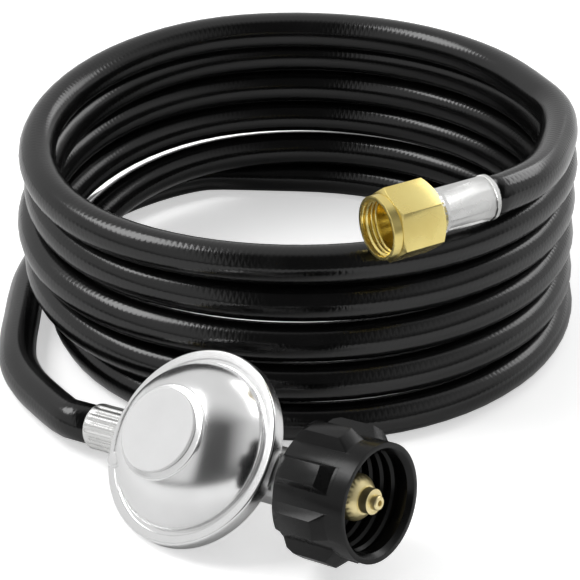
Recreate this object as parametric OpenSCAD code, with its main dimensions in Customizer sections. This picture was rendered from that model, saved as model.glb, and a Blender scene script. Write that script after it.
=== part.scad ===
// Low-pressure gas regulator with a hand nut for the cylinder valve, and its hose: the hose leaves
// the regulator along the floor, winds up in a standing coil and ends in a brass swivel flare nut
// that lies on the top turn.
// Millimetres, +Z up, floor at z = 0. The head's local frame has its origin on the regulator's
// centre line, +X out of the hand nut's mouth and +Z out of the closing cap.

/* [Hose] */
// Outside diameter of the hose
hose_d = 13.3; // [12.3:0.1:13.6]
// Bore of the hose, which the two barbs fill
hose_bore_d = 6.7; // [5.5:0.1:7.5]
// Free height between one turn of the coil and the next
turn_gap = 0.5; // [0.5:0.05:1.5]
// Mean radius of the coil's centre line
coil_r = 94; // [90:1:98]
// Number of turns in the standing coil
coil_turns = 5.25; // [5.25:1:7.25]

/* [Head pose] */
// Angle by which the cap's axis leans from upright
head_lean = 47; // [42:1:52]
// Rise of the inlet's axis towards the hand nut's mouth
head_tilt = 9; // [8:0.5:14]

/* [Regulator] */
// Radius of the rolled rim
rim_r = 32; // [30:0.5:36]
// Height of the clamped flange above the inlet's axis
flange_z = 8.5; // [8.3:0.1:11]
// Thickness of the body's flange
flange_t = 2; // [1.6:0.1:3]
// Wall of the cast body
body_wall = 3; // [2.4:0.1:3.6]
// Depth of the body's chamber below the inlet's axis
chamber_depth = 9; // [8.6:0.1:12]
// Sheet thickness of the bonnet
bonnet_t = 1.2; // [0.8:0.1:1.6]
// Thickness of the diaphragm
diaphragm_t = 0.8; // [0.6:0.1:1.2]
// Height of the cap's face above the flange's top
cap_rise = 19; // [18.5:0.5:24]
// Radius of the closing cap
cap_r = 13.5; // [12.8:0.1:15]
// Travel of the diaphragm from open to shut
stroke = 1.7; // [1:0.1:1.7]

/* [Control spring] */
// Mean radius of the control spring
spring_r = 8; // [6.5:0.1:9]
// Wire diameter of the control spring
spring_wire_d = 1; // [0.8:0.1:1.1]
// Number of turns of the control spring
spring_turns = 5; // [3:1:5]

/* [Inlet] */
// Radius to which the hand nut's back edge is rounded off
nut_r = 19.2; // [18.5:0.1:20.5]
// Radius over the hand nut's grip lugs
lug_r = 21.9; // [21:0.1:23]
// Wall of the hand nut's barrel outside its thread
nut_side = 1.9; // [1.5:0.1:2.6]
// Number of grip lugs
lug_count = 8; // [6:1:10]
// Length of the hand nut
nut_len = 27; // [26.5:0.5:30]
// Radius of the hand nut's thread (1-5/16 ACME, root)
tank_thread_r = 16.7; // [16:0.1:17.2]
// Radius of the nipple's nose that the valve's seat takes
nose_r = 7.3; // [7:0.1:7.8]
// Radius of the nipple's tip
tip_r = 2.3; // [1.8:0.1:3.4]
// Radius of the nipple's shank through the hand nut
shank_r = 6.8; // [6.6:0.1:6.9]

/* [Hose ends] */
// Outside radius of the crimped ferrules
ferrule_r = 7.7; // [7.5:0.1:9]
// Length of the ferrule at the regulator
outlet_ferrule_len = 16; // [14:0.5:22]
// Length of the ferrule at the flare nut
flare_ferrule_len = 22.5; // [18:0.5:24]
// Number of crimped flutes round a ferrule
flute_count = 14; // [10:1:16]

/* [Flare nut] */
// Width of the flare nut across its flats
hex_af = 22; // [21.5:0.5:24]
// Length of the flare nut
flare_nut_len = 19.5; // [19.5:0.5:24]
// Radius of the flare nut's thread (3/4-16, root)
flare_thread_r = 9.5; // [9:0.1:9.7]
// Radius of the flare nut's round mouth
flare_mouth_r = 10.6; // [10.3:0.1:10.7]

/* [Hidden] */
$fn = 64;

running = 0.05;                 // radial clearance of a shaft that turns or slides in its bore
seat_gap = 0.02;                // radial clearance of a piece pressed or screwed into its seat
lash = 0.3;                     // axial clearance between pieces that move past each other
cut = 0.1;                      // overshoot of a cutting solid
hose_r = hose_d / 2;
hose_bore_r = hose_bore_d / 2;
barb_r = hose_bore_r - seat_gap;

// Head: where the regulator's centre line crosses the inlet's axis
cap_axis_z = cos(head_lean) * cos(head_tilt);
cap_axis_side = sqrt(1 - pow(cap_axis_z, 2));
rim_low_z = flange_z - 1.2;
rim_edge = 0.5;
head_x = -9.2;
head_y = 4.5;
head_z = rim_r * cap_axis_side - (rim_low_z + rim_edge) * cap_axis_z;

// Regulator stack, from the body's flange upwards
flange_top = flange_z + flange_t;
sheet_z = flange_top + diaphragm_t;
bonnet_flange_top = sheet_z + bonnet_t;
body_flange_r = rim_r - bonnet_t - 0.1;
cap_z = flange_top + cap_rise;
chamber_r = rim_r - 10;
body_r = chamber_r + body_wall;
body_low_z = -chamber_depth - body_wall;
body_lift = 0.8;                            // the body's height above the floor it leans over
body_foot_r = (head_z + body_low_z * cap_axis_z - body_lift) / cap_axis_side;
shoulder_z = (body_r * cap_axis_side + body_lift - head_z) / cap_axis_z;
cap_t = 1.2;
tower_top = cap_z - cap_t;
tower_bore_r = cap_r - 2.6;
dome_edge_r = rim_r - 4.6;
dome_low_z = bonnet_flange_top + 0.9;
tower_foot_z = cap_z - 9;                   // the tower reaches down inside the dome
neck_r = cap_r + 2.1;
neck_z = cap_z - 3.3;                       // where the dome ends outside and the neck begins
plate_r = 16;
plate_t = 1;
stem_r = 1.5;
stem_head_t = 0.9;
screw_t = 3;
screw_z = tower_foot_z + 1.2;
spring_gap = 0.05;
boss_r = 9.2;
boss_len = rim_r - 3;
inlet_boss_len = rim_r + 6.5;
lip_r = rim_r - 2.1;
plate_z = sheet_z + lash;
plate_top = plate_z + plate_t;
vent_at = 212;
vent_x = rim_r - 10;
vent_r = 2.7;
vent_top = dome_low_z + 9.4;

// Valve: plunger along the inlet's axis, lever below it
pivot_x = 8.5;
short_arm = 4.6;
pivot_z = -short_arm;
lever_swing = stroke / pivot_x;             // radians
plunger_travel = short_arm * lever_swing;
plunger_r = 2.8;
plunger_x = 5;
seat_x = 11.9;
seat_t = 1.4;
seat_r = 2.2;
orifice_x = seat_x + plunger_travel + 0.1;
orifice_r = 3.4;
orifice_len = 6;
web_x = orifice_x + 1.6;                    // wall that carries the orifice
web_r = 6;
thread_x = chamber_r + 1.2;                 // where the threaded bores of both bosses end
pin_r = 0.75;
hub_r = 1.5;
hub_half = 3;
ear_gap = hub_half + lash;
ear_t = 2.4;
tine_in = stem_r + 0.4;
tine_t = 1.1;
tine_reach = 2.6;
arm_t = 1;
collar_r = 3.4;
collar_gap = arm_t / 2 + 0.8;
collar_t = 0.9;
guide_t = 1.8;
guide_front_t = 1.2;
guide_x = plunger_x + 0.2;
guide_front_x = pivot_x + 2.3;
yoke_end = guide_front_x + guide_front_t;
yoke_y = ear_gap + ear_t;
finger_r = 1;
slot_half = finger_r + running;

// Inlet, along the head's +X
inlet_thread_r = 6.4;
nut_back = inlet_boss_len + 1.5;
nut_mouth = nut_back + nut_len;
nut_wall = 4;
nut_barrel_r = tank_thread_r + nut_side;
tank_crest_r = tank_thread_r - 1;
tank_pitch = 4.23;
bushing_x = nut_back + nut_wall + lash;
bushing_len = 7;
bushing_r = 12.5;
nose_x = nut_mouth - 14.5;
nose_end = nut_mouth - 8.5;
step_r = 4;
step_x = nut_mouth - 5.2;
tip_x = nut_mouth - 2.2;
check_bore_r = 3.4;
check_x = bushing_x + 3;
check_end = nut_mouth - 6.4;
poppet_r = check_bore_r - running;
poppet_len = 5;
poppet_x = check_end - 0.6 - poppet_len;
retainer_t = 2;
passage_r = 1.8;
spigot_r = 1.9;
spigot_len = 1.5;
check_spring_r = 2.4;
check_wire_d = 0.5;
check_turns = 3;
gas_hole_r = 0.9;

// Outlet, along the head's -X
outlet_thread_r = 6;
outlet_x = rim_r + 0.6;
outlet_collar_t = 1.4;
outlet_ferrule_x = outlet_x + outlet_collar_t + 0.2;
outlet_end = outlet_ferrule_x + outlet_ferrule_len;

// Flare end, along its own +X from the hose's end
flare_collar_x = flare_ferrule_len + 0.2;
flare_collar_t = 1.6;
flare_nut_x = flare_collar_x + flare_collar_t + lash;
flare_wall = 4.5;
flare_neck_r = 5.2;
flare_head_x = flare_nut_x + flare_wall + lash;
flare_head_t = 2;
flare_head_r = flare_thread_r - 0.3;
flare_bore_r = 2.4;
flare_cone = flare_head_r - flare_bore_r - 1.2;
flare_cone_end = flare_head_x + flare_head_t + flare_cone;
flare_thread_x = flare_cone_end - flare_nut_x + 0.2;   // from the nut's back; behind it the bore is wider
flare_relief_r = flare_thread_r + 0.4;
flare_mouth_len = 3;
flare_chamfer = 1.6;

// Coil: its place, the height of its turns, and how far each quarter turn stands off the mean
// radius, as it lies. A turn keeps its height for most of its way and steps down at the back left.
coil_x = head_x - 61;
coil_y = head_y + 122;
pitch = hose_d + turn_gap;
coil_lay = 39;                  // angle at which a turn is counted to begin
coil_first = coil_lay + 20;
coil_last = coil_first + 360 * coil_turns - 15;
rings_per_turn = 24;
step_from = 105;
step_to = 225;
turn_off = [-5, -9, 1, -8.5, -1, 1, 0, -8.5, -1, 2, 3, -5.8, -1, 3, 1, -3.2, -1, 1, -7, -0.6, 0, 3, 12, 16];

function level(a) = floor(a / 360);
function ease(t) = let (s = min(1, max(0, t))) s * s * (3 - 2 * s);
function turns_above(a) =
    coil_turns - 0.25 - level(a) - ease((a - 360 * level(a) - step_from) / (step_to - step_from));
function spline(p, i, t) =
    let (a = p[max(0, i - 1)], b = p[i], c = p[min(len(p) - 1, i + 1)], d = p[min(len(p) - 1, i + 2)])
    b + t * (c - a) / 2 + t * t * (a - 2.5 * b + 2 * c - d / 2)
      + t * t * t * (1.5 * b - a / 2 - 1.5 * c + d / 2);
function standoff(a) = let (q = max(0, a / 90)) spline(turn_off, floor(q), q - floor(q));
function coil_point(a) =
    let (w = a - coil_lay, r = coil_r + standoff(w), up = max(0, turns_above(w)))
    [coil_x + r * cos(a), coil_y + r * sin(a), hose_r + pitch * up];
function unit(v) = v / norm(v);

coil_steps = round((coil_last - coil_first) * rings_per_turn / 360);
coil_curve = [for (i = [0:coil_steps]) coil_point(coil_first + (coil_last - coil_first) * i / coil_steps)];
coil_head_dir = unit(3 * coil_curve[0] - 4 * coil_curve[1] + coil_curve[2]);
coil_foot_dir = unit([for (k = [0:1]) (coil_curve[coil_steps] - coil_curve[coil_steps - 1])[k]]);
coil_foot_way = [coil_foot_dir[0], coil_foot_dir[1], 0];
coil_head = coil_curve[0] + coil_head_dir * hose_d;
coil_foot = coil_curve[coil_steps] + coil_foot_way * hose_d;
coil_path = concat([coil_head], coil_curve, [coil_foot]);

// Free stretches: points from the coil's middle, in the horizontal plane. The tail's heights are
// above the middle of the turn it leaves, the lead's above the middle of a hose on the floor.
crown = hose_r + (coil_turns - 0.25) * pitch;
hex_r = hex_af / 2 / cos(30);
tail_route = [[69.1, 60, 0.1], [78.4, 47.1, 0.4], [86, 32.2, 1], [92.4, 16.5, 2.3], [95.5, 1, 3.7]];
flare_at = [93.3, -18.4, crown - pitch + hose_r + hex_r - 0.7];    // clear of the turn below it
flare_heading = -110;
flare_roll = 10;
lead_route = [
    [-98.5, 38, 0], [-103.5, 14, 0], [-101.8, -9, 0], [-95.2, -34, 0], [-85.2, -54.5, 0], [-75, -68.7, 0],
    [-64.5, -81.5, 0], [-54.3, -93.7, 0], [-43.8, -104.2, 0], [-32, -111.5, 0.05], [-19, -116.8, 0.75]
];

flare_spot = flare_at + [coil_x, coil_y, 0];
flare_dir = [cos(flare_heading), sin(flare_heading), 0];
outlet_dir = [-cos(head_tilt), 0, -sin(head_tilt)];
outlet_spot = [head_x, head_y, head_z] + outlet_dir * outlet_end;

function curve(p, per) =
    [for (i = [1:len(p) - 3], k = [0:per - 1]) spline(p, i, k / per)];
function route(p, per) = concat([p[0]], curve(p, per), [p[len(p) - 2], p[len(p) - 1]]);

tail_path = route(concat(
    [coil_head, coil_head + coil_head_dir * 3],
    [for (p = tail_route) p + [coil_x, coil_y, crown]],
    [flare_spot - flare_dir * 3, flare_spot]
), 2);
lead_path = route(concat(
    [coil_foot, coil_foot + coil_foot_way * hose_d],
    [for (p = lead_route) p + [coil_x, coil_y, hose_r]],
    [outlet_spot + outlet_dir * hose_d, outlet_spot]
), 2);

// Cross-sections of the hose: cut flat above and below where it lies in the coil
coil_shape = hose_r * [[1, 0], [0.5, 1], [-0.5, 1], [-1, 0], [-0.5, -1], [0.5, -1]];
hose_shape = [for (k = [0:9]) hose_r * [cos(18 + 36 * k), sin(18 + 36 * k)]];

// Hose length and the coil's least gap to itself, taken on points along the centre line
function path_len(p, i = 0, sum = 0) =
    i >= len(p) - 1 ? sum : path_len(p, i + 1, sum + norm(p[i + 1] - p[i]));
probes = [
    for (i = [0:len(coil_path) - 2], k = [0:2])
        coil_path[i] + (coil_path[i + 1] - coil_path[i]) * k / 3
];
half_turn = rings_per_turn * 3 / 2;
self_gap = min([
    for (i = [0:len(probes) - 1 - half_turn])
        min([for (j = [i + half_turn:len(probes) - 1]) norm(probes[i] - probes[j])])
]) - hose_d;
echo(coil_least_gap = self_gap);
echo(hose_length = path_len(tail_path) + path_len(coil_path) + path_len(lead_path));

module on_head() {
    translate([head_x, head_y, head_z]) rotate([0, -head_tilt, 0]) rotate([head_lean, 0, 0]) children();
}

module on_flare() {
    translate(flare_spot) rotate([0, 0, flare_heading]) rotate([flare_roll, 0, 0]) children();
}

module along_x(x = 0) {
    translate([x, 0, 0]) rotate([0, 90, 0]) children();
}

module against_x(x = 0) {
    translate([-x, 0, 0]) rotate([0, -90, 0]) children();
}

module lathe(p) {
    rotate_extrude() polygon(p);
}

module block(x0, x1, half_y, z0, z1) {
    translate([x0, -half_y, z0]) cube([x1 - x0, 2 * half_y, z1 - z0]);
}

// One unbroken tube along a path of points, closed by a flat face at each end
function unit_side(d) = unit(cross([0, 0, 1], d));
function way(p, i) = unit(p[min(len(p) - 1, i + 1)] - p[max(0, i - 1)]);
function ring(c, d, shape) =
    let (side = unit_side(d), up = cross(d, side)) [for (q = shape) c + side * q[0] + up * q[1]];

module tube(p, shape) {
    n = len(shape);
    m = len(p);
    last = (m - 1) * n;
    sides = [
        for (i = [0:m - 2], j = [0:n - 1])
            let (a = i * n + j, b = i * n + (j + 1) % n)
            each [[a, a + n, b + n], [a, b + n, b]]
    ];
    caps = [for (j = [1:n - 2]) each [[0, j, j + 1], [last, last + j + 1, last + j]]];
    points = [for (i = [0:m - 1]) each ring(p[i], way(p, i), shape)];
    polyhedron(points = points, faces = concat(sides, caps));
}

module coil_spring(r, wire_d, z0, z1, turns) {
    per = 12;
    shape = [for (k = [0:5]) wire_d / 2 * [cos(60 * k), sin(60 * k)]];
    rise = z1 - z0 - wire_d;
    tube([
        for (i = [0:turns * per])
            [r * cos(360 * i / per), r * sin(360 * i / per), z0 + wire_d / 2 + rise * i / (turns * per)]
    ], shape);
}

// Regulator

module body_shell() {
    lathe([
        [0, body_low_z], [body_foot_r, body_low_z], [body_r, shoulder_z], [body_r, flange_z],
        [body_flange_r, flange_z], [body_flange_r, flange_top], [0, flange_top]
    ]);
}

module boss(length) {
    lathe([[0, 0], [boss_r, 0], [boss_r, length - 0.8], [boss_r - 0.8, length], [0, length]]);
}

module valve_body() {
    color([0.62, 0.63, 0.64]) on_head() difference() {
        union() {
            difference() {
                union() {
                    body_shell();
                    difference() {
                        along_x() boss(inlet_boss_len);
                        block(rim_r - 3, rim_r + lash, boss_r + cut, rim_low_z - lash, boss_r + cut);
                    }
                    against_x() boss(boss_len);
                }
                lathe([
                    [0, -chamber_depth], [body_foot_r - body_wall, -chamber_depth],
                    [chamber_r, shoulder_z + 2.2], [chamber_r, flange_top + cut], [0, flange_top + cut]
                ]);
            }
            along_x(web_x) cylinder(r = web_r, h = chamber_r - web_x + 0.5);
            intersection() {
                body_shell();
                difference() {
                    union() {
                        block(guide_x, yoke_end, yoke_y, -chamber_depth - 0.5, 0.5);
                        block(guide_x, guide_x + guide_t, yoke_y, -2.2, 4.2);
                        block(guide_front_x, yoke_end, yoke_y, -2.2, 4.2);
                    }
                    block(guide_x - cut, yoke_end + cut, ear_gap, -chamber_depth - 1, -2.2);
                    block(guide_x + guide_t, guide_front_x, ear_gap, -2.2 - cut, 4.2 + cut);
                }
            }
        }
        along_x(plunger_x - 1) cylinder(r = plunger_r + running, h = yoke_end - plunger_x + 1 + cut);
        translate([pivot_x, yoke_y + 0.2, pivot_z]) rotate([90, 0, 0])
            cylinder(r = pin_r + seat_gap, h = 2 * yoke_y + 0.4);
        along_x(web_x - cut) cylinder(r = orifice_r + seat_gap, h = thread_x - web_x + 2 * cut);
        along_x(thread_x) cylinder(r = inlet_thread_r + seat_gap, h = inlet_boss_len);
        against_x(chamber_r - 6) cylinder(r = 3, h = 8);
        against_x(thread_x) cylinder(r = outlet_thread_r + seat_gap, h = boss_len);
    }
}

function dome(r_in, z_low, r_gap, z_gap, steps) =
    [for (k = [0:steps]) let (t = 90 * k / steps, u = k / steps)
        [r_in + r_gap * (cos(t) + 1 - u) / 2, z_low + z_gap * (sin(t) + u) / 2]];

module bonnet() {
    span = dome_edge_r - neck_r;
    rise = neck_z - dome_low_z;
    outer = dome(neck_r, dome_low_z, span, rise, 9);
    inner = dome(neck_r - bonnet_t, dome_low_z - bonnet_t, span, rise, 9);
    color([0.78, 0.78, 0.77]) on_head() difference() {
        union() {
            lathe(concat(
                [
                    [lip_r, rim_low_z], [rim_r - rim_edge, rim_low_z], [rim_r, rim_low_z + rim_edge],
                    [rim_r, bonnet_flange_top - 0.6], [rim_r - 0.6, bonnet_flange_top],
                    [dome_edge_r + 1.6, bonnet_flange_top], [dome_edge_r + 1.3, bonnet_flange_top - 0.4],
                    [dome_edge_r + 0.7, bonnet_flange_top - 0.4], [dome_edge_r, bonnet_flange_top]
                ],
                outer,
                [
                    [neck_r, neck_z + 0.7], [neck_r - 0.5, neck_z + 1.1], [cap_r - 0.4, tower_top],
                    [tower_bore_r, tower_top], [tower_bore_r, tower_foot_z - bonnet_t],
                    [tower_bore_r + 1.4, tower_foot_z - bonnet_t], [tower_bore_r + 1.4, neck_z - bonnet_t]
                ],
                [for (k = [9:-1:0]) inner[k]],
                [
                    [dome_edge_r - bonnet_t, sheet_z], [body_flange_r + 0.1, sheet_z],
                    [body_flange_r + 0.1, flange_z - 0.1], [lip_r, flange_z - 0.1]
                ]
            ));
            rotate([0, 0, vent_at]) translate([vent_x, 0, dome_low_z + 1.5])
                cylinder(r = vent_r, h = vent_top - dome_low_z - 1.5);
        }
        rotate([0, 0, vent_at]) translate([vent_x, 0, sheet_z + 0.5]) cylinder(r = vent_r - 1, h = 20);
    }
}

module vent_plug() {
    low = vent_top - 2.4;
    color([0.3, 0.3, 0.3]) on_head() rotate([0, 0, vent_at]) translate([vent_x, 0, low]) difference() {
        cylinder(r = vent_r - 1 - seat_gap, h = 2.2);
        for (k = [0:2]) rotate([0, 0, 120 * k]) translate([1, 0, -cut]) cylinder(r = 0.4, h = 3);
    }
}

module closing_cap() {
    color([0.7, 0.7, 0.69]) on_head() lathe([
        [0, cap_z], [cap_r - 0.5, cap_z], [cap_r, cap_z - 0.5], [cap_r, tower_top],
        [tower_bore_r - seat_gap, tower_top], [tower_bore_r - seat_gap, tower_top - 3],
        [tower_bore_r - 1.6, tower_top - 3], [tower_bore_r - 1.6, tower_top], [0, tower_top]
    ]);
}

module adjusting_screw() {
    color([0.75, 0.68, 0.4]) on_head() translate([0, 0, screw_z]) difference() {
        cylinder(r = tower_bore_r - seat_gap, h = screw_t);
        translate([0, 0, -cut]) cylinder(r = 3, h = screw_t + 2 * cut, $fn = 6);
    }
}

module control_spring() {
    color([0.55, 0.56, 0.58]) on_head()
        coil_spring(spring_r, spring_wire_d, plate_top + spring_gap, screw_z - spring_gap, spring_turns);
}

module diaphragm() {
    fold = 1.2;
    color([0.12, 0.12, 0.12]) on_head() lathe([
        [stem_r + running, flange_top], [plate_r + 1, flange_top], [plate_r + 2, flange_top + fold],
        [chamber_r - 2, flange_top + fold], [chamber_r - 1, flange_top], [body_flange_r - 0.1, flange_top],
        [body_flange_r - 0.1, sheet_z], [chamber_r - 0.6, sheet_z], [chamber_r - 1.6, sheet_z + fold],
        [plate_r + 1.6, sheet_z + fold], [plate_r + 0.6, sheet_z], [stem_r + running, sheet_z]
    ]);
}

module diaphragm_plate() {
    color([0.6, 0.6, 0.6]) on_head() translate([0, 0, plate_z]) difference() {
        cylinder(r = plate_r, h = plate_t);
        translate([0, 0, -cut]) cylinder(r = stem_r + seat_gap, h = plate_t + 2 * cut);
    }
}

module diaphragm_stem() {
    low = pivot_z - collar_gap - collar_t;
    color([0.72, 0.62, 0.32]) on_head() lathe([
        [0, low], [collar_r - 0.2, low], [collar_r, low + 0.2], [collar_r, low + collar_t],
        [stem_r, low + collar_t], [stem_r, pivot_z + collar_gap], [collar_r, pivot_z + collar_gap],
        [collar_r, pivot_z + collar_gap + collar_t], [stem_r, pivot_z + collar_gap + collar_t],
        [stem_r, plate_top], [stem_r + 1.1, plate_top], [stem_r + 1.1, plate_top + stem_head_t],
        [0, plate_top + stem_head_t]
    ]);
}

module valve_lever() {
    half = tine_in + tine_t;
    color([0.66, 0.67, 0.68]) on_head() difference() {
        union() {
            block(-tine_reach, pivot_x, half, pivot_z - arm_t / 2, pivot_z + arm_t / 2);
            translate([pivot_x, hub_half, pivot_z]) rotate([90, 0, 0])
                cylinder(r = hub_r, h = 2 * hub_half);
            block(pivot_x - 0.7, pivot_x + 0.7, finger_r, pivot_z + hub_r - 0.3, 0);
            translate([pivot_x, finger_r, 0]) rotate([90, 0, 0]) cylinder(r = finger_r, h = 2 * finger_r);
        }
        block(-tine_reach - cut, tine_in + lash, tine_in, pivot_z - 2, pivot_z + 2);
        translate([pivot_x, half + 1, pivot_z]) rotate([90, 0, 0])
            cylinder(r = pin_r + running, h = 2 * half + 2);
    }
}

module lever_pin() {
    color([0.8, 0.8, 0.8]) on_head() translate([pivot_x, yoke_y - 0.1, pivot_z]) rotate([90, 0, 0])
        cylinder(r = pin_r, h = 2 * yoke_y - 0.2);
}

module valve_plunger() {
    len = seat_x - lash - plunger_x;
    slot_top = finger_r + lash;
    color([0.72, 0.62, 0.32]) on_head() difference() {
        along_x(plunger_x) cylinder(r = plunger_r, h = len);
        along_x(seat_x - seat_t) cylinder(r = seat_r + seat_gap, h = seat_t);
        translate([pivot_x, slot_top, 0]) rotate([90, 0, 0]) linear_extrude(height = 2 * slot_top)
            polygon([
                [-slot_half, slot_top], [-slot_half, -0.8], [-slot_half - 1, -plunger_r - cut],
                [slot_half, -plunger_r - cut], [slot_half, slot_top]
            ]);
    }
}

module seat_disc() {
    color([0.1, 0.1, 0.1]) on_head() along_x(seat_x - seat_t) cylinder(r = seat_r, h = seat_t);
}

module orifice() {
    end = orifice_x + orifice_len;
    color([0.78, 0.68, 0.36]) on_head() along_x() lathe([
        [gas_hole_r, orifice_x], [1.6, orifice_x], [2.6, orifice_x + 1.2], [orifice_r, orifice_x + 1.4],
        [orifice_r, end], [gas_hole_r, end]
    ]);
}

// Inlet

module inlet_nipple() {
    thread_start = thread_x + 0.2;
    color([0.74, 0.66, 0.4]) on_head() along_x() lathe([
        [passage_r, thread_start], [inlet_thread_r, thread_start], [inlet_thread_r, inlet_boss_len],
        [shank_r, inlet_boss_len], [shank_r, nose_x], [nose_r, nose_x], [nose_r, nose_end],
        [nose_r - 0.4, nose_end + 1.2], [nose_r - 1.4, nose_end + 2.4], [step_r + 0.6, step_x],
        [step_r, step_x], [step_r, tip_x], [tip_r, tip_x], [tip_r, nut_mouth - 0.4],
        [tip_r - 0.4, nut_mouth], [gas_hole_r, nut_mouth], [gas_hole_r, check_end],
        [check_bore_r, check_end], [check_bore_r, check_x], [passage_r, check_x]
    ]);
}

module thermal_bushing() {
    color([0.13, 0.13, 0.13]) on_head() along_x(bushing_x) lathe([
        [shank_r + seat_gap, 0], [bushing_r, 0], [bushing_r, bushing_len - 1.5],
        [bushing_r - 1.5, bushing_len], [shank_r + seat_gap, bushing_len]
    ]);
}

module lug() {
    foot_r = nut_barrel_r - 1;
    half_foot = nut_barrel_r * 0.25;
    half_tip = nut_barrel_r * 0.175;
    linear_extrude(height = nut_len * 0.8)
        polygon([[foot_r, -half_foot], [lug_r, -half_tip], [lug_r, half_tip], [foot_r, half_foot]]);
}

module hand_nut() {
    top = lug_r + 0.4;
    lead_in = 1.6;
    root_half = 0.8;
    crest_half = 1.5;
    thread_first = nut_wall + 4;
    thread_rings = floor((nut_len - thread_first - 4) / tank_pitch);
    color([0.07, 0.07, 0.07]) on_head() along_x(nut_back) difference() {
        intersection() {
            union() {
                cylinder(r = nut_barrel_r, h = nut_len);
                for (k = [0:lug_count - 1]) rotate([0, 0, k * 360 / lug_count]) lug();
            }
            lathe([
                [0, 0], [nut_r - 1.5, 0], [top - 1.2, 2.5], [top, 5.5], [top, nut_len * 0.64],
                [nut_barrel_r + 0.05, nut_len * 0.76], [nut_barrel_r + 0.05, nut_len], [0, nut_len]
            ]);
        }
        translate([0, 0, -cut]) cylinder(r = shank_r + running, h = nut_wall + 2 * cut);
        translate([0, 0, nut_wall]) cylinder(r = tank_crest_r, h = nut_len);
        translate([0, 0, nut_len - lead_in])
            cylinder(r1 = tank_crest_r, r2 = tank_thread_r + 0.4, h = lead_in + cut);
        for (k = [0:thread_rings]) translate([0, 0, thread_first + k * tank_pitch]) lathe([
            [tank_crest_r - cut, -crest_half], [tank_thread_r, -root_half],
            [tank_thread_r, root_half], [tank_crest_r - cut, crest_half]
        ]);
    }
}

module check_poppet() {
    color([0.3, 0.3, 0.32]) on_head() along_x(poppet_x) difference() {
        lathe([
            [0, -spigot_len], [spigot_r, -spigot_len], [spigot_r, 0], [poppet_r, 0],
            [poppet_r, poppet_len - 1.5], [1.4, poppet_len], [0, poppet_len]
        ]);
        for (k = [0:2]) rotate([0, 0, 120 * k]) translate([2.8, -0.9, -cut]) cube([2, 1.8, poppet_len + 1]);
    }
}

module check_spring() {
    from = check_x + retainer_t + spring_gap;
    color([0.6, 0.6, 0.62]) on_head() along_x()
        coil_spring(check_spring_r, check_wire_d, from, poppet_x - spring_gap, check_turns);
}

module check_retainer() {
    color([0.72, 0.62, 0.32]) on_head() along_x(check_x) difference() {
        cylinder(r = check_bore_r - seat_gap, h = retainer_t);
        translate([0, 0, -cut]) cylinder(r = 1.3, h = retainer_t + 2 * cut);
    }
}

// Hose ends

module barb_outline(bore, body, end) {
    teeth = 4;
    tooth = (end - body) / teeth;
    low_r = barb_r - 0.5;
    lathe(concat(
        [[bore, body], [low_r, body]],
        [
            for (k = [0:teeth - 1])
                each [[barb_r, body + k * tooth + 0.2], [low_r, body + (k + 1) * tooth - 0.05]]
        ],
        [[bore, end]]
    ));
}

module fluted_ferrule(length) {
    difference() {
        lathe([
            [hose_bore_r, 0], [ferrule_r - 0.8, 0], [ferrule_r, 0.8], [ferrule_r, length - 0.8],
            [ferrule_r - 0.8, length], [hose_bore_r, length]
        ]);
        for (k = [0:flute_count - 1]) rotate([0, 0, (k + 0.5) * 360 / flute_count])
            translate([ferrule_r - 0.45, -3, 2]) cube([3, 6, length - 4]);
    }
}

module outlet_barb() {
    thread_start = thread_x + 0.2;
    collar_end = outlet_x + outlet_collar_t;
    color([0.78, 0.7, 0.42]) on_head() against_x() union() {
        lathe([
            [2, thread_start], [outlet_thread_r, thread_start], [outlet_thread_r, boss_len],
            [shank_r, boss_len], [shank_r, outlet_x], [ferrule_r, outlet_x], [ferrule_r, collar_end],
            [barb_r - 0.5, collar_end], [2, collar_end]
        ]);
        barb_outline(2, collar_end, outlet_end - 1);
    }
}

module outlet_ferrule() {
    color([0.8, 0.8, 0.78]) on_head() against_x(outlet_ferrule_x) fluted_ferrule(outlet_ferrule_len);
}

module flare_ferrule() {
    color([0.8, 0.8, 0.78]) on_flare() along_x() difference() {
        fluted_ferrule(flare_ferrule_len);
        translate([0, 0, flare_ferrule_len - 4]) rotate([0, 90, 0]) cylinder(r = 0.9, h = 20);
    }
}

module flare_stem() {
    collar_end = flare_collar_x + flare_collar_t;
    head_end = flare_head_x + flare_head_t;
    cone_end = head_end + flare_cone;
    color([0.78, 0.7, 0.42]) on_flare() along_x() union() {
        lathe([
            [flare_bore_r, flare_collar_x], [ferrule_r, flare_collar_x], [ferrule_r, collar_end],
            [flare_neck_r, collar_end], [flare_neck_r, flare_head_x], [flare_head_r, flare_head_x],
            [flare_head_r, head_end], [flare_bore_r + 1.2, cone_end], [flare_bore_r, cone_end]
        ]);
        translate([0, 0, flare_collar_x]) rotate([180, 0, 0])
            barb_outline(flare_bore_r, 0, flare_collar_x - 1);
    }
}

module flare_nut() {
    hex_len = flare_nut_len - flare_mouth_len;
    color([0.85, 0.78, 0.45]) on_flare() along_x(flare_nut_x) difference() {
        union() {
            intersection() {
                cylinder(r = hex_r, h = hex_len, $fn = 6);
                lathe([
                    [0, 0], [hex_af / 2 - 0.2, 0], [hex_r + 0.2, flare_chamfer],
                    [hex_r + 0.2, hex_len - 0.9], [hex_af / 2, hex_len], [0, hex_len]
                ]);
            }
            translate([0, 0, hex_len - cut]) cylinder(r = flare_mouth_r, h = flare_mouth_len + cut);
        }
        translate([0, 0, -cut]) cylinder(r = flare_neck_r + running, h = flare_wall + 2 * cut);
        translate([0, 0, flare_wall]) cylinder(r = flare_relief_r, h = flare_thread_x - flare_wall);
        translate([0, 0, flare_wall]) cylinder(r = flare_thread_r, h = flare_nut_len);
    }
}

// Hose

module hose_lead() {
    color([0.06, 0.06, 0.06]) tube(lead_path, hose_shape);
}

module hose_coil() {
    color([0.06, 0.06, 0.06]) tube(coil_path, coil_shape);
}

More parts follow.
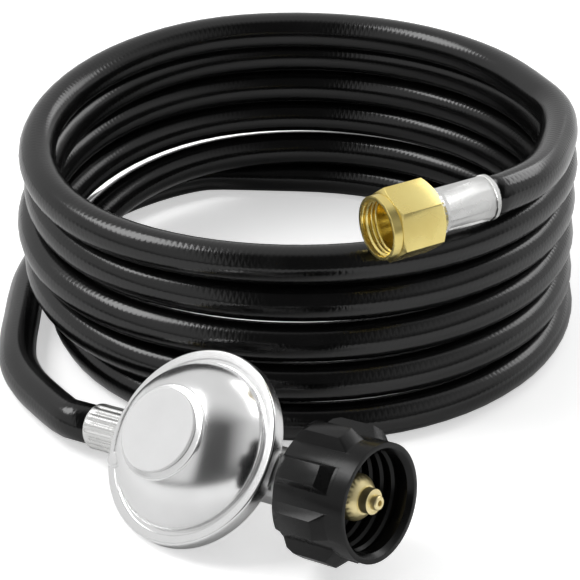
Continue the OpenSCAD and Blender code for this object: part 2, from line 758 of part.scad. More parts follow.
module hose_tail() {
    color([0.06, 0.06, 0.06]) tube(tail_path, hose_shape);
}

valve_body();
bonnet();
closing_cap();
adjusting_screw();
control_spring();
diaphragm();
diaphragm_plate();
diaphragm_stem();
valve_lever();
lever_pin();
valve_plunger();
seat_disc();
orifice();
vent_plug();
inlet_nipple();
thermal_bushing();
hand_nut();
check_poppet();
check_spring();
check_retainer();
outlet_barb();
outlet_ferrule();
hose_lead();
hose_coil();
hose_tail();
flare_ferrule();
flare_stem();
flare_nut();
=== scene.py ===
"""Looks for a gas regulator with a lugged hand nut, on a rubber hose that winds up in a standing coil.

Lengths are written in millimetres and turned into metres where a piece is made. The regulator head has
a frame of its own: its origin is on the regulator's centre line, +X leaves the hand nut's mouth and +Z
leaves the closing cap.
"""

import math

import bmesh
import bpy
from mathutils import Matrix, Vector


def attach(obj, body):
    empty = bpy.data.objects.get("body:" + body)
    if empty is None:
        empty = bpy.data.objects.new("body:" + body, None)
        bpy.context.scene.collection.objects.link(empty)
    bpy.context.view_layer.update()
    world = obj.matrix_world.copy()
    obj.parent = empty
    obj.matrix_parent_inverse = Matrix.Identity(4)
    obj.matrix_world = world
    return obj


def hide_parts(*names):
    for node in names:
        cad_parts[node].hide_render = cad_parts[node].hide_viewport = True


MM = 0.001
TURN = 2 * math.pi

# Coil: a turn is counted from the angle COIL_LAY, and the hose changes level between STEP_FROM and
# STEP_TO degrees of it. TURN_OFF is how far each quarter turn stands off the mean radius.
HOSE_R = 6.65
PITCH = 13.8
COIL_R = 94.0
COIL_TURNS = 5.25
COIL_LAY = 39.0
STEP_FROM, STEP_TO = 105.0, 225.0
TURN_OFF = [
    -5, -9, 1, -8.5, -1, 1, 0, -8.5, -1, 2, 3, -5.8,
    -1, 3, 1, -3.2, -1, 1, -7, -0.6, 0, 3, 12, 16,
]
CROWN = HOSE_R + (COIL_TURNS - 0.25) * PITCH

# Free stretches: points from the coil's middle. The tail's heights are above the middle of the top
# turn, the lead's above the middle of a hose on the floor.
TAIL_ROUTE = [(69.1, 60, 0.1), (78.4, 47.1, 0.4), (86, 32.2, 1), (92.4, 16.5, 2.3), (95.5, 1, 3.7)]
LEAD_ROUTE = [
    (-98.5, 38, 0), (-103.5, 14, 0), (-101.8, -9, 0), (-95.2, -34, 0), (-85.2, -54.5, 0),
    (-75, -68.7, 0), (-64.5, -81.5, 0), (-54.3, -93.7, 0), (-43.8, -104.2, 0), (-32, -111.5, 0.05),
    (-19, -116.8, 0.75),
]

# Mark of the braid below the rubber
BRAID_PITCH = 2.0
BRAID_STARTS = 9
BRAID_DEPTH = 0.000015      # in metres, as all depths in the materials are

# Head pose
HEAD_LEAN = math.radians(47)
HEAD_TILT = math.radians(9)
RIM_R = 32.0
FLANGE_Z = 8.5
RIM_LOW_Z = FLANGE_Z - 1.2
CAP_AXIS_Z = math.cos(HEAD_LEAN) * math.cos(HEAD_TILT)
HEAD_AT = Vector((-9.2, 4.5, RIM_R * math.sqrt(1 - CAP_AXIS_Z ** 2) - (RIM_LOW_Z + 0.5) * CAP_AXIS_Z))

# Regulator stack
FLANGE_TOP = FLANGE_Z + 2
SHEET_Z = FLANGE_TOP + 0.8
BONNET_T = 1.2
BONNET_FLANGE_TOP = SHEET_Z + BONNET_T
CAP_Z = FLANGE_TOP + 19
CAP_R = 13.5
CAP_T = 1.2
TOWER_BORE_R = CAP_R - 2.6
TOWER_FOOT_Z = CAP_Z - 9
NECK_R = CAP_R + 2.1
NECK_Z = CAP_Z - 3.3
DOME_EDGE_R = RIM_R - 4.6
DOME_LOW_Z = BONNET_FLANGE_TOP + 0.9
VENT_AT = math.radians(212)
VENT_X = RIM_R - 10
VENT_R = 2.7
VENT_TOP = DOME_LOW_Z + 9.4

# Outlet and flare end
FERRULE_R = 7.7
FERRULE_GAP = 0.2
BARB_R = 3.35
OUTLET_X = RIM_R + 0.6
OUTLET_COLLAR_T = 1.4
OUTLET_FERRULE_X = OUTLET_X + OUTLET_COLLAR_T + FERRULE_GAP
OUTLET_FERRULE_LEN = 16.0
OUTLET_END = OUTLET_FERRULE_X + OUTLET_FERRULE_LEN
PLEAT_COUNT = 16
PLEAT_DEPTH = 0.55
PLEAT_END = 1.0
HEX_ACROSS_FLATS = 22
HEX_R = HEX_ACROSS_FLATS / 2 / math.cos(math.radians(30))
FLARE_AT = Vector((93.3, -18.4, CROWN - PITCH + HOSE_R + HEX_R - 0.7))
FLARE_HEADING = math.radians(-110)
FLARE_ROLL = math.radians(10)
FLARE_FERRULE_LEN = 22.5
FLARE_COLLAR_T = 1.6
NUT_LASH = 0.3
FLARE_NUT_X = FLARE_FERRULE_LEN + FERRULE_GAP + FLARE_COLLAR_T + NUT_LASH
FLARE_NUT_LEN = 19.5
FLARE_THREAD_R = 9.5
FLARE_RELIEF_END = 12.6     # from the nut's back, where the thread begins
FLARE_THREAD_X = FLARE_NUT_X + FLARE_RELIEF_END
FLARE_THREAD_DEPTH = 0.6
FLARE_THREAD_PITCH = 1.59
FLARE_THREAD_INSET = 0.7    # from the nut's mouth

COIL_AT = Vector((HEAD_AT.x - 61, HEAD_AT.y + 122, 0))

HEAD = (
    Matrix.Translation(HEAD_AT * MM)
    @ Matrix.Rotation(-HEAD_TILT, 4, "Y")
    @ Matrix.Rotation(HEAD_LEAN, 4, "X")
    @ Matrix.Scale(MM, 4)
)
FLARE = (
    Matrix.Translation((COIL_AT + FLARE_AT) * MM)
    @ Matrix.Rotation(FLARE_HEADING, 4, "Z")
    @ Matrix.Rotation(FLARE_ROLL, 4, "X")
    @ Matrix.Scale(MM, 4)
)
ALONG_X = Matrix.Rotation(math.radians(90), 4, "Y")

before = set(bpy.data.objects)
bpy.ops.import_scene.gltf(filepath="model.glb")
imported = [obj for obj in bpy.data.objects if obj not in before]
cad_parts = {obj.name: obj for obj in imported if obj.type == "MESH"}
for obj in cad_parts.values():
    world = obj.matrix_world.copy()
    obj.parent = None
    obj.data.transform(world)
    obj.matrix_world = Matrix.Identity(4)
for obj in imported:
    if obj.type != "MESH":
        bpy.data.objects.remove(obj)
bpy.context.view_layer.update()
bpy.ops.object.select_all(action="DESELECT")


# ---------------------------------------------------------------- node maths


class Num:
    """A number in a material. Arithmetic on it adds Math nodes."""

    def __init__(self, paint, socket):
        self.paint = paint
        self.socket = socket

    def __add__(self, other):
        return self.paint.math("ADD", self, other)

    def __sub__(self, other):
        return self.paint.math("SUBTRACT", self, other)

    def __mul__(self, other):
        return self.paint.math("MULTIPLY", self, other)

    def sine(self):
        return self.paint.math("SINE", self)

    def larger(self, other):
        return self.paint.math("MAXIMUM", self, other)

    __radd__ = __add__
    __rmul__ = __mul__


class Paint:
    """A material, or the world, with one method that adds any node."""

    def __init__(self, tree):
        self.tree = tree
        tree.nodes.clear()

    def node(self, kind, settings=(), **sockets):
        made = self.tree.nodes.new(kind)
        for name, value in dict(settings).items():
            setattr(made, name, value)
        for name, value in sockets.items():
            key = int(name[1:]) if name[1:].isdigit() else name.replace("_", " ")
            self.feed(made.inputs[key], value)
        return made

    def feed(self, socket, value):
        if isinstance(value, Num):
            value = value.socket
        if isinstance(value, bpy.types.NodeSocket):
            self.tree.links.new(value, socket)
        else:
            socket.default_value = value

    def math(self, operation, *values):
        sockets = {f"i{k}": value for k, value in enumerate(values)}
        return Num(self, self.node("ShaderNodeMath", {"operation": operation}, **sockets).outputs[0])

    def noise(self, where, scale, detail=3.0, roughness=0.5):
        made = self.node(
            "ShaderNodeTexNoise", Vector=where, Scale=scale, Detail=detail, Roughness=roughness,
        )
        return Num(self, made.outputs["Fac"])

    def blend(self, amount, first, second):
        made = self.node("ShaderNodeMix", {"data_type": "RGBA"}, Factor=amount)
        self.feed(made.inputs[6], first)
        self.feed(made.inputs[7], second)
        return made.outputs[2]

    def ramp(self, amount, low, high):
        made = self.node("ShaderNodeMapRange", Value=amount)
        for name, value in (("From Min", low), ("From Max", high)):
            made.inputs[name].default_value = value
        return Num(self, made.outputs["Result"])

    def bump(self, height, distance):
        made = self.node("ShaderNodeBump", Height=height, Distance=distance, Strength=1.0)
        return made.outputs["Normal"]


def grey(level):
    return (level, level, level, 1.0)


def new_material(name):
    material = bpy.data.materials.new(name)
    material.use_nodes = True
    return material, Paint(material.node_tree)


def finish_material(material, paint, **shader):
    surface = paint.node("ShaderNodeBsdfPrincipled", **shader)
    paint.node("ShaderNodeOutputMaterial", Surface=surface.outputs["BSDF"])
    return material


def place_of(paint):
    return paint.node("ShaderNodeTexCoord").outputs["Object"]


DRIFT_SCALE = 70            # how many patches of another tone lie in a metre of metal
HANDLING_SCALE = 45         # the same for handling marks on plastic
DUST_SCALE = 60             # and for dust on rubber
MOULD_GRAIN = 2600


def metal(name, colour, dark, rough, rough_spread, grain, grain_depth):
    """Metal whose tone and polish drift a little from place to place, over a fine grain."""
    material, paint = new_material(name)
    where = place_of(paint)
    drift = paint.ramp(paint.noise(where, DRIFT_SCALE, 4), 0.3, 0.7)
    fine = paint.noise(where, grain, 2)
    return finish_material(
        material, paint,
        Base_Color=paint.blend(drift, colour, dark),
        Metallic=1.0,
        Roughness=rough + rough_spread * drift,
        Normal=paint.bump(fine, grain_depth),
    )


def moulded_plastic(name, colour, worn, rough, grain_depth):
    """Moulded plastic with a fine spark-eroded grain and faint handling marks."""
    material, paint = new_material(name)
    where = place_of(paint)
    marks = paint.ramp(paint.noise(where, HANDLING_SCALE, 5, 0.6), 0.42, 0.75)
    grain = paint.noise(where, MOULD_GRAIN, 2)
    return finish_material(
        material, paint,
        Base_Color=paint.blend(marks, colour, worn),
        Roughness=rough + 0.08 * marks,
        Normal=paint.bump(grain, grain_depth),
        Specular_IOR_Level=0.25,
    )


def hose_rubber():
    """Black rubber in which the braid below shows as a fine crossed mark along the hose."""
    material, paint = new_material("hose_rubber")
    run_map = paint.node("ShaderNodeUVMap", {"uv_map": "run"}).outputs["UV"]
    run = paint.node("ShaderNodeSeparateXYZ", Vector=run_map)
    along, around = (Num(paint, run.outputs[k]) for k in (0, 1))
    right = (along * (TURN / BRAID_PITCH) + around * (TURN * BRAID_STARTS)).sine()
    left = (along * (TURN / BRAID_PITCH) - around * (TURN * BRAID_STARTS)).sine()
    braid = right.larger(left)
    where = place_of(paint)
    dust = paint.ramp(paint.noise(where, DUST_SCALE, 5, 0.6), 0.45, 0.8)
    return finish_material(
        material, paint,
        Base_Color=paint.blend(dust, grey(0.002), grey(0.004)),
        Roughness=0.17 + 0.08 * dust,
        Normal=paint.bump(braid + 0.4 * paint.noise(where, 700, 2), BRAID_DEPTH),
    )


HOSE = hose_rubber()
POLISHED = metal("polished_metal", grey(0.86), grey(0.80), 0.17, 0.08, 1500, 0.000002)
CAST = metal("cast_metal", grey(0.60), grey(0.46), 0.34, 0.12, 1400, 0.00006)
PLATED = metal("plated_steel", grey(0.66), grey(0.58), 0.24, 0.10, 1800, 0.00001)
WIRE = metal("spring_wire", grey(0.52), grey(0.40), 0.28, 0.10, 2400, 0.00001)
BRASS = metal(
    "turned_brass", (0.90, 0.76, 0.30, 1), (0.80, 0.64, 0.22, 1), 0.22, 0.10, 1600, 0.000008,
)
# Sanded brass for the nipple: rougher than the turned brass. Its colour is painted lighter than brass,
# as painted light, so that it shows bright in the hand nut's dark mouth.
NIPPLE_BRASS_PAINTED_LIGHT = metal(
    "sanded_brass_painted_light", (0.98, 0.86, 0.50, 1), (0.92, 0.78, 0.40, 1), 0.38, 0.10, 1600, 0.00001,
)
FERRULE = metal(
    "crimped_metal", (0.78, 0.78, 0.77, 1), (0.64, 0.64, 0.63, 1), 0.22, 0.12, 1300, 0.00002,
)
CAP_FACE = moulded_plastic("cap_plastic", grey(0.74), grey(0.69), 0.42, 0.000004)
NUT_BLACK = moulded_plastic("nut_plastic", grey(0.002), grey(0.005), 0.24, 0.00001)
INNER = moulded_plastic("inner_plastic", grey(0.22), grey(0.17), 0.45, 0.00001)
SEAL = moulded_plastic("seal_rubber", grey(0.02), grey(0.04), 0.6, 0.00002)

# ---------------------------------------------------------------- making pieces

SHARP = 30              # degrees between two faces above which their edge stays sharp
PLEAT_FADE = 1.2        # length over which a pleat runs out at its ends
PLEAT_SHARPNESS = 1.6   # above 1, the grooves are narrower than the ridges between them
JOIN_NODE = 0.000002    # metres within which a node's doubled points are joined
JOIN_TURNED = 0.0005    # millimetres within which a turned piece's points are joined


def select_only(piece):
    bpy.ops.object.select_all(action="DESELECT")
    piece.select_set(True)
    bpy.context.view_layer.objects.active = piece


def name_piece(name, material):
    piece = bpy.context.object
    piece.name = piece.data.name = name
    piece.data.materials.clear()
    piece.data.materials.append(material)
    return piece


def settle(piece, place, angle):
    """Puts a piece made in a local frame into its place, with the place in its mesh."""
    select_only(piece)
    piece.data.transform(place)
    piece.data.update()
    bpy.ops.object.shade_smooth_by_angle(angle=math.radians(angle))
    piece.select_set(False)


def pleat(piece, count, depth, low, high, inner_r):
    """Presses lengthwise grooves into the outside of a turned piece between two heights."""
    for vertex in piece.data.vertices:
        x, y, z = vertex.co
        radius = math.hypot(x, y)
        fade = min(1.0, max(0.0, min(z - low, high - z) / PLEAT_FADE))
        if radius > inner_r and fade > 0:
            wave = (0.5 + 0.5 * math.cos(count * math.atan2(y, x))) ** PLEAT_SHARPNESS
            keep = 1 - depth * fade * wave / radius
            vertex.co.x *= keep
            vertex.co.y *= keep


def turned(name, outline, material, place, steps=96, closed=True, angle=35, pleats=None):
    """A turned piece: its outline (radius, height) is drawn by extruding a point, then spun round Z."""
    bpy.ops.mesh.primitive_plane_add(size=1)
    piece = name_piece(name, material)
    bpy.ops.object.mode_set(mode="EDIT")
    bpy.ops.mesh.merge(type="CENTER")
    bpy.ops.transform.translate(value=(outline[0][0], 0, outline[0][1]))
    path = list(outline[1:]) + ([outline[0]] if closed else [])
    at = outline[0]
    for step in path:
        move = (step[0] - at[0], 0, step[1] - at[1])
        bpy.ops.mesh.extrude_region_move(TRANSFORM_OT_translate={"value": move})
        at = step
    bpy.ops.mesh.select_all(action="SELECT")
    bpy.ops.mesh.spin(steps=steps, angle=TURN, center=(0, 0, 0), axis=(0, 0, 1))
    bpy.ops.mesh.select_all(action="SELECT")
    bpy.ops.mesh.remove_doubles(threshold=JOIN_TURNED)
    bpy.ops.mesh.normals_make_consistent(inside=False)
    bpy.ops.object.mode_set(mode="OBJECT")
    if pleats:
        pleat(piece, *pleats)
    settle(piece, place, angle)
    return piece


def dressed(node, name, material, bevel):
    """A copy of a CAD node with its triangles joined up, its edges eased and its curves smooth."""
    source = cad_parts[node]
    piece = bpy.data.objects.new(name, source.data.copy())
    bpy.context.collection.objects.link(piece)
    piece.data.materials.clear()
    piece.data.materials.append(material)
    select_only(piece)
    bpy.ops.object.mode_set(mode="EDIT")
    bpy.ops.mesh.select_all(action="SELECT")
    bpy.ops.mesh.remove_doubles(threshold=JOIN_NODE)
    bpy.ops.mesh.dissolve_limited(angle_limit=math.radians(1.5))
    bpy.ops.object.mode_set(mode="OBJECT")
    if bevel:
        ease = piece.modifiers.new("ease", "BEVEL")
        ease.width = bevel * MM
        ease.segments = 2
        ease.limit_method = "ANGLE"
        ease.angle_limit = math.radians(SHARP)
        bpy.ops.object.modifier_apply(modifier="ease")
    bpy.ops.object.shade_smooth_by_angle(angle=math.radians(SHARP))
    piece.select_set(False)
    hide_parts(node)
    return piece


def arc(centre, radius, start, end, steps):
    """Points of an arc in an outline, with angles in degrees from the radius's own direction."""
    return [
        (
            centre[0] + radius * math.cos(math.radians(start + (end - start) * k / steps)),
            centre[1] + radius * math.sin(math.radians(start + (end - start) * k / steps)),
        )
        for k in range(steps + 1)
    ]


# ---------------------------------------------------------------- hose


def ease_step(t):
    """Runs from 0 to 1 with a level start and end."""
    t = min(1.0, max(0.0, t))
    return t * t * (3 - 2 * t)


def spline(points, i, t):
    """A smooth curve through all the points, between points i and i + 1."""
    last = len(points) - 1
    a, b, c, d = (points[min(last, max(0, k))] for k in (i - 1, i, i + 1, i + 2))
    square = a - b * 2.5 + c * 2 - d / 2
    cube = b * 1.5 - a / 2 - c * 1.5 + d / 2
    return b + (c - a) * (t / 2) + square * t ** 2 + cube * t ** 3


def coil_point(angle):
    """Where the coil's centre line is at an angle, counted on from turn to turn as it winds down."""
    wound = angle - COIL_LAY
    quarter = max(0.0, wound / 90)
    level = math.floor(wound / 360)
    drop = ease_step((wound - 360 * level - STEP_FROM) / (STEP_TO - STEP_FROM))
    height = max(0.0, COIL_TURNS - 0.25 - level - drop)
    radius = COIL_R + spline(TURN_OFF, math.floor(quarter), quarter - math.floor(quarter))
    a = math.radians(angle)
    return COIL_AT + Vector((radius * math.cos(a), radius * math.sin(a), HOSE_R + PITCH * height))


def smooth_route(points, per):
    """The route with more points on its curve. Its first and last stretch stay straight."""
    inner = [spline(points, i, k / per) for i in range(1, len(points) - 2) for k in range(per)]
    return [points[0], *inner, points[-2], points[-1]]


def hose_route():
    """The hose's centre line in millimetres, from the regulator's ferrule to the flare ferrule."""
    per_turn = 24
    finer = 3
    per_stretch = 6
    nib = 3
    first = COIL_LAY + 20
    last = first + 360 * COIL_TURNS - 15
    steps = round((last - first) * per_turn / 360)
    rough = [coil_point(first + (last - first) * k / steps) for k in range(steps + 1)]
    head_way = (rough[0] * 3 - rough[1] * 4 + rough[2]).normalized()
    foot_way = rough[-1] - rough[-2]
    foot_way.z = 0
    foot_way.normalize()
    fine = [coil_point(first + (last - first) * k / (steps * finer)) for k in range(steps * finer + 1)]
    outlet_way = Vector((-math.cos(HEAD_TILT), 0, -math.sin(HEAD_TILT)))
    outlet = HEAD_AT + outlet_way * OUTLET_END
    flare = COIL_AT + FLARE_AT
    flare_way = Vector((math.cos(FLARE_HEADING), math.sin(FLARE_HEADING), 0))
    straight = 2 * HOSE_R
    foot = fine[-1] + foot_way * straight
    head = fine[0] + head_way * straight
    lead = [foot, foot + foot_way * straight]
    lead += [COIL_AT + Vector(p) + Vector((0, 0, HOSE_R)) for p in LEAD_ROUTE]
    lead += [outlet + outlet_way * straight, outlet]
    tail = [head, head + head_way * nib]
    tail += [COIL_AT + Vector(p) + Vector((0, 0, CROWN)) for p in TAIL_ROUTE]
    tail += [flare - flare_way * nib, flare]
    return smooth_route(lead, per_stretch)[::-1] + fine[::-1] + smooth_route(tail, per_stretch)


def relaxed(points, rounds):
    """Evens out small kinks and leaves the two ends in place."""
    for _ in range(rounds):
        moved = [(a + b * 2 + c) / 4 for a, b, c in zip(points, points[1:], points[2:])]
        points = [*points[:3], *moved[2:-2], *points[-3:]]
    return points


def make_hose(route, sides=20):
    """A round tube along the route. Its UV map holds the run in millimetres and the turn round it."""
    mesh = bmesh.new()
    run_map = mesh.loops.layers.uv.new("run")
    spokes = [(math.cos(TURN * k / sides), math.sin(TURN * k / sides)) for k in range(sides)]
    rings, runs, run = [], [], 0.0
    for i, point in enumerate(route):
        way = (route[min(len(route) - 1, i + 1)] - route[max(0, i - 1)]).normalized()
        side = Vector((0, 0, 1)).cross(way).normalized()
        up = way.cross(side)
        if i:
            run += (point - route[i - 1]).length
        runs.append(run)
        rings.append([
            mesh.verts.new((point + (side * across + up * rise) * HOSE_R) * MM)
            for across, rise in spokes
        ])
    for i in range(len(rings) - 1):
        for k in range(sides):
            n = (k + 1) % sides
            face = mesh.faces.new((rings[i][k], rings[i][n], rings[i + 1][n], rings[i + 1][k]))
            spots = ((runs[i], k), (runs[i], k + 1), (runs[i + 1], k + 1), (runs[i + 1], k))
            for loop, (at, turn) in zip(face.loops, spots):
                loop[run_map].uv = (at, turn / sides)
            face.smooth = True
    mesh.faces.new(rings[0][::-1])
    mesh.faces.new(rings[-1])
    bmesh.ops.recalc_face_normals(mesh, faces=mesh.faces)
    data = bpy.data.meshes.new("hose")
    mesh.to_mesh(data)
    mesh.free()
    data.materials.append(HOSE)
    hose = bpy.data.objects.new("hose", data)
    bpy.context.collection.objects.link(hose)
    return hose, runs[-1]


hose_line = relaxed(hose_route(), 2)
hose, hose_run = make_hose(hose_line)
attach(hose, "regulator_and_hose")
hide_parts("hose_lead", "hose_coil", "hose_tail")

# ---------------------------------------------------------------- camera, light and floor

# Places and lengths below are in metres
CAMERA_AT = Vector((379.5, -439.9, 400.9)) * MM
CAMERA_TO = Vector((-73.5, 124.1, 5.83)) * MM
LENS_PX = 2214.0        # focal length in pixels of the picture
FLOOR_GLOW = 0.5        # lifts the floor to white where the camera sees it
ROOM_LIGHT = 0.8
ROOM_DARK = 0.09
ROOM_PALE = 0.95
FLOOR_SIZE = 8
FLOOR_GAP = 0.0004
FRAME_PX = 580
FILM_MM = 36


def make_camera():
    bpy.ops.object.camera_add(location=CAMERA_AT)
    camera = bpy.context.object
    camera.rotation_mode = "QUATERNION"
    camera.rotation_quaternion = (CAMERA_TO - CAMERA_AT).to_track_quat("-Z", "Y")
    camera.data.sensor_width = FILM_MM
    camera.data.lens = LENS_PX / FRAME_PX * FILM_MM
    camera.data.clip_start = 0.01
    bpy.context.scene.camera = camera
    camera.select_set(False)


def make_lamp(name, at, to, size, watts, mirrored=True):
    bpy.ops.object.light_add(type="AREA", location=at)
    lamp = bpy.context.object
    lamp.name = lamp.data.name = name
    lamp.data.shape = "RECTANGLE"
    lamp.data.size, lamp.data.size_y = size
    lamp.data.energy = watts
    lamp.visible_glossy = mirrored
    lamp.rotation_mode = "QUATERNION"
    lamp.rotation_quaternion = (Vector(to) - Vector(at)).to_track_quat("-Z", "Y")
    lamp.select_set(False)


def make_world():
    """White to the camera. Gloss sees a pale backdrop, a dark room before it and two soft boxes."""
    world = bpy.data.worlds.new("light_tent")
    bpy.context.scene.world = world
    world.use_nodes = True
    paint = Paint(world.node_tree)
    direction = paint.node("ShaderNodeTexCoord").outputs["Generated"]
    way = paint.node("ShaderNodeSeparateXYZ", Vector=direction)
    x, y, z = (Num(paint, way.outputs[k]) for k in "XYZ")
    front = x * 0.62 - y * 0.78
    right = x * 0.78 + y * 0.62
    backdrop = paint.ramp(front, 0.30, -0.10)
    left_box = paint.ramp(right, -0.30, -0.50) * paint.ramp(z, 0.02, 0.16)
    right_box = paint.ramp(right, 0.30, 0.80) * paint.ramp(z, 0.02, 0.40)
    light = backdrop.larger(left_box).larger(right_box * 0.9)
    tent = paint.blend(light, grey(ROOM_DARK), grey(ROOM_PALE))
    room = paint.node("ShaderNodeBackground", Color=tent, Strength=ROOM_LIGHT)
    white = paint.node("ShaderNodeBackground", Color=grey(1.0), Strength=1.0)
    seen = paint.node("ShaderNodeLightPath").outputs["Is Camera Ray"]
    mixed = paint.node("ShaderNodeMixShader", i0=seen, i1=room.outputs[0], i2=white.outputs[0])
    paint.node("ShaderNodeOutputWorld", Surface=mixed.outputs[0])


def make_floor():
    bpy.ops.mesh.primitive_plane_add(size=FLOOR_SIZE, location=(0, 0, -FLOOR_GAP))
    material, paint = new_material("pale_floor")
    floor = name_piece("floor", material)
    seen = Num(paint, paint.node("ShaderNodeLightPath").outputs["Is Camera Ray"])
    base = paint.node("ShaderNodeBsdfDiffuse", Color=grey(0.86))
    glow_colour = paint.blend(seen, grey(0.0), grey(FLOOR_GLOW))
    glow = paint.node("ShaderNodeEmission", Color=glow_colour, Strength=1.0)
    both = paint.node("ShaderNodeAddShader", i0=base.outputs[0], i1=glow.outputs[0])
    paint.node("ShaderNodeOutputMaterial", Surface=both.outputs[0])
    floor.select_set(False)


make_camera()
make_world()
make_floor()
make_lamp("key", (-0.9, -0.5, 1.5), (-0.05, 0.05, 0), (0.9, 0.9), 16)
make_lamp("fill", (1.3, -0.9, 0.9), (-0.05, 0.05, 0.02), (0.7, 1.0), 5, mirrored=False)
make_lamp("back", (0.2, 1.6, 1.1), (-0.05, 0.1, 0.02), (1.4, 0.6), 8)
bpy.context.scene.view_settings.view_transform = "Standard"

# ---------------------------------------------------------------- regulator


def dome_outline():
    """The bonnet from the lip under the flange, over the rolled rim and the dome, and back inside."""
    span = DOME_EDGE_R - NECK_R
    rise = NECK_Z - DOME_LOW_Z
    lip_r = RIM_R - 2.1
    skirt_r = RIM_R - 1.2

    def dome(drop, steps=28):
        return [
            (
                NECK_R - drop + span * (math.cos(TURN / 4 * u) + 1 - u) / 2,
                DOME_LOW_Z - drop + rise * (math.sin(TURN / 4 * u) + u) / 2,
            )
            for u in (k / steps for k in range(steps + 1))
        ]

    return [
        (lip_r, RIM_LOW_Z),
        *arc((RIM_R - 0.5, RIM_LOW_Z + 0.5), 0.5, -90, 0, 5),
        *arc((RIM_R - 0.9, BONNET_FLANGE_TOP - 0.9), 0.9, 0, 90, 8),
        (DOME_EDGE_R + 1.7, BONNET_FLANGE_TOP),
        (DOME_EDGE_R + 1.5, BONNET_FLANGE_TOP - 0.2),
        (DOME_EDGE_R + 1.4, BONNET_FLANGE_TOP - 0.8),
        (DOME_EDGE_R + 0.3, BONNET_FLANGE_TOP - 0.8),
        *dome(0),
        *arc((NECK_R - 0.5, NECK_Z + 0.6), 0.5, 0, 90, 6),
        (NECK_R - 0.9, NECK_Z + 1.1),
        (CAP_R - 0.4, CAP_Z - CAP_T),
        (TOWER_BORE_R, CAP_Z - CAP_T),
        (TOWER_BORE_R, TOWER_FOOT_Z - BONNET_T),
        (TOWER_BORE_R + 1.4, TOWER_FOOT_Z - BONNET_T),
        (TOWER_BORE_R + 1.4, NECK_Z - BONNET_T),
        *dome(BONNET_T)[::-1],
        (DOME_EDGE_R - BONNET_T, SHEET_Z),
        (skirt_r, SHEET_Z),
        (skirt_r, FLANGE_Z - 0.1),
        (lip_r, FLANGE_Z - 0.1),
    ]


def cap_outline():
    plug_r = TOWER_BORE_R - 0.02
    under = CAP_Z - CAP_T
    return [
        (0, CAP_Z),
        (CAP_R - 1.0, CAP_Z),
        *arc((CAP_R - 0.35, CAP_Z - 0.35), 0.35, 90, 0, 5),
        (CAP_R, under),
        (plug_r, under),
        (plug_r, under - 3),
        (plug_r - 1.6, under - 3),
        (plug_r - 1.6, under),
        (0, under),
    ]


def vent_outline():
    low = DOME_LOW_Z - 0.5
    return [
        (0, VENT_TOP + 0.1),
        *arc((VENT_R - 0.8, VENT_TOP - 0.7), 0.8, 90, 0, 6),
        (VENT_R, low),
        (0, low),
    ]


bonnet = turned("dome", dome_outline(), POLISHED, HEAD, steps=160)
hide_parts("bonnet")
cap = turned("cap", cap_outline(), CAP_FACE, HEAD, closed=False)
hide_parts("closing_cap")
vent_place = HEAD @ Matrix.Rotation(VENT_AT, 4, "Z") @ Matrix.Translation((VENT_X, 0, 0))
vent = turned("vent_knob", vent_outline(), POLISHED, vent_place, steps=32, closed=False)
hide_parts("vent_plug")
for piece, slot in ((bonnet, "polished_metal"), (cap, "cap"), (vent, "polished_metal")):
    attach(piece, "regulator_and_hose")


def ferrule_outline(length, steps=14):
    """A crimped ferrule from its hose end, with points along its side for the pleats."""
    low, high = 1.4, length - 1.6
    side = [(FERRULE_R, low + (high - low) * k / steps) for k in range(steps + 1)]
    return [
        (BARB_R, 0),
        *arc((FERRULE_R - 0.6, 0.6), 0.6, -90, 0, 5),
        *side,
        *arc((FERRULE_R - 0.6, length - 0.6), 0.6, 0, 90, 5),
        (BARB_R, length),
    ]


outlet_place = HEAD @ Matrix.Translation((-OUTLET_FERRULE_X, 0, 0)) @ ALONG_X.inverted()
outlet_crimp = turned(
    "outlet_crimp", ferrule_outline(OUTLET_FERRULE_LEN), FERRULE, outlet_place, steps=192, angle=40,
    pleats=(PLEAT_COUNT, PLEAT_DEPTH, PLEAT_END, OUTLET_FERRULE_LEN - PLEAT_END, BARB_R + 1),
)
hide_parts("outlet_ferrule")
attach(outlet_crimp, "regulator_and_hose")

# ---------------------------------------------------------------- pieces that keep the solid's shape

ROOT = "regulator_and_hose"
DRESSED = [
    ("valve_body", "body", CAST, 0.25, "body_metal", ROOT),
    ("hand_nut", "grip_nut", NUT_BLACK, 0.45, "black_plastic", "hand_nut"),
    ("inlet_nipple", "nipple", NIPPLE_BRASS_PAINTED_LIGHT, 0.15, "brass", ROOT),
    ("thermal_bushing", "bushing", SEAL, 0.2, "black_plastic", ROOT),
    ("outlet_barb", "outlet_tail", BRASS, 0.0, "brass", ROOT),
    ("flare_ferrule", "flare_crimp", FERRULE, 0.12, "ferrule_metal", ROOT),
    ("flare_stem", "flare_tail", BRASS, 0.0, "brass", ROOT),
    ("flare_nut", "hex_nut", BRASS, 0.2, "brass", "flare_nut"),
]
made = {}
for node, name, material, bevel, slot, body in DRESSED:
    made[name] = dressed(node, name, material, bevel)
    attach(made[name], body)

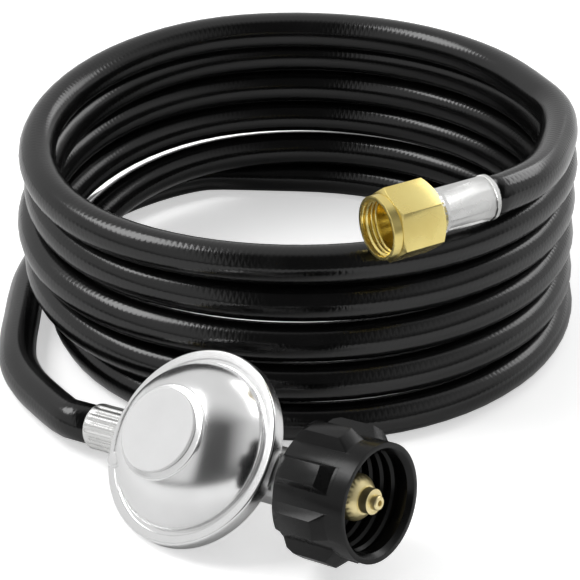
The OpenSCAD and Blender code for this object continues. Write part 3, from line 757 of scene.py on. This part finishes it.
HIDDEN_INSIDE = {
    "adjusting_screw": INNER, "control_spring": WIRE, "diaphragm": SEAL, "diaphragm_plate": PLATED,
    "diaphragm_stem": BRASS, "valve_lever": PLATED, "lever_pin": PLATED, "valve_plunger": BRASS,
    "seat_disc": SEAL, "orifice": BRASS, "check_poppet": INNER, "check_spring": WIRE,
    "check_retainer": BRASS,
}
for node, material in HIDDEN_INSIDE.items():
    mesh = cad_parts[node].data
    mesh.materials.clear()
    mesh.materials.append(material)


def thread_ridge(name, radius, depth, pitch, start, end, material, place):
    """A helical thread's ridge on the wall of a bore, thinned out at both ends."""
    per_turn = 40
    run_out = 14
    sunk = 0.05
    steps = int((end - start) / pitch * per_turn)
    mesh = bmesh.new()
    rows = []
    for i in range(steps + 1):
        a = TURN * i / per_turn
        z = start + pitch * i / per_turn
        fade = min(1.0, i / run_out, (steps - i) / run_out)
        rows.append([
            mesh.verts.new((r * math.cos(a), r * math.sin(a), z + h))
            for r, h in (
                (radius + sunk, -pitch * 0.42), (radius - depth * fade, -pitch * 0.12),
                (radius - depth * fade, pitch * 0.12), (radius + sunk, pitch * 0.42),
            )
        ])
    for a, b in zip(rows, rows[1:]):
        for k in range(4):
            mesh.faces.new((a[k], a[(k + 1) % 4], b[(k + 1) % 4], b[k]))
    mesh.faces.new(rows[0])
    mesh.faces.new(rows[-1][::-1])
    bmesh.ops.recalc_face_normals(mesh, faces=mesh.faces)
    data = bpy.data.meshes.new(name)
    mesh.to_mesh(data)
    mesh.free()
    data.materials.append(material)
    piece = bpy.data.objects.new(name, data)
    bpy.context.collection.objects.link(piece)
    settle(piece, place, 50)
    return piece


flare_thread = thread_ridge(
    "flare_thread", FLARE_THREAD_R, FLARE_THREAD_DEPTH, FLARE_THREAD_PITCH, FLARE_THREAD_X,
    FLARE_NUT_X + FLARE_NUT_LEN - FLARE_THREAD_INSET, BRASS, FLARE @ ALONG_X,
)
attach(flare_thread, "flare_nut")

list(hose_line[0] * MM)
[list(p * MM) for p in hose_line]
